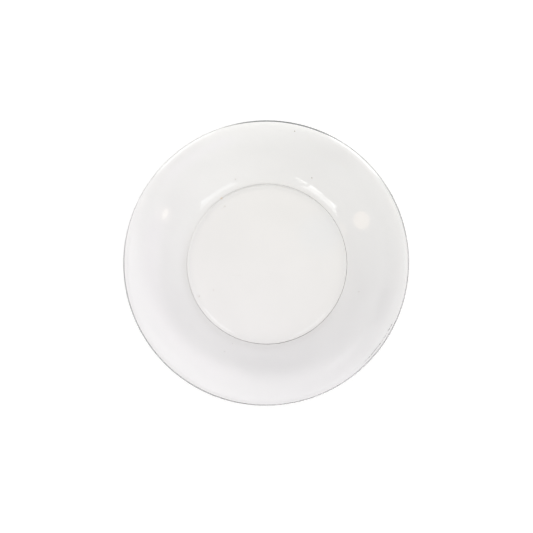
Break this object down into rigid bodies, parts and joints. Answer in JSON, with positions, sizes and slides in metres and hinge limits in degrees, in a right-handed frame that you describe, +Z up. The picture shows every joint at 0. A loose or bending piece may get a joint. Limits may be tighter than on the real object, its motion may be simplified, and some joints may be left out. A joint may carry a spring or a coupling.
{
  "type": "watch glass",
  "caption": "Shallow round dish of clear laboratory glass with a flat well, a flared wall and a cut, fire-polished rim, standing on a low foot ring.",
  "frame": {"origin": "centre of the foot ring, on the plane that the glass stands on", "axes": "+Z up along the axis of revolution, out of the open side; X and Y lie in the plane of the foot"},
  "size_m": [0.15, 0.15, 0.0151],
  "materials": {
    "clear_glass": "clear and colourless, fire-polished on both faces"
  },
  "bodies": {
    "root": {"watch_glass": "clear_glass"}
  },
  "joints": []
}
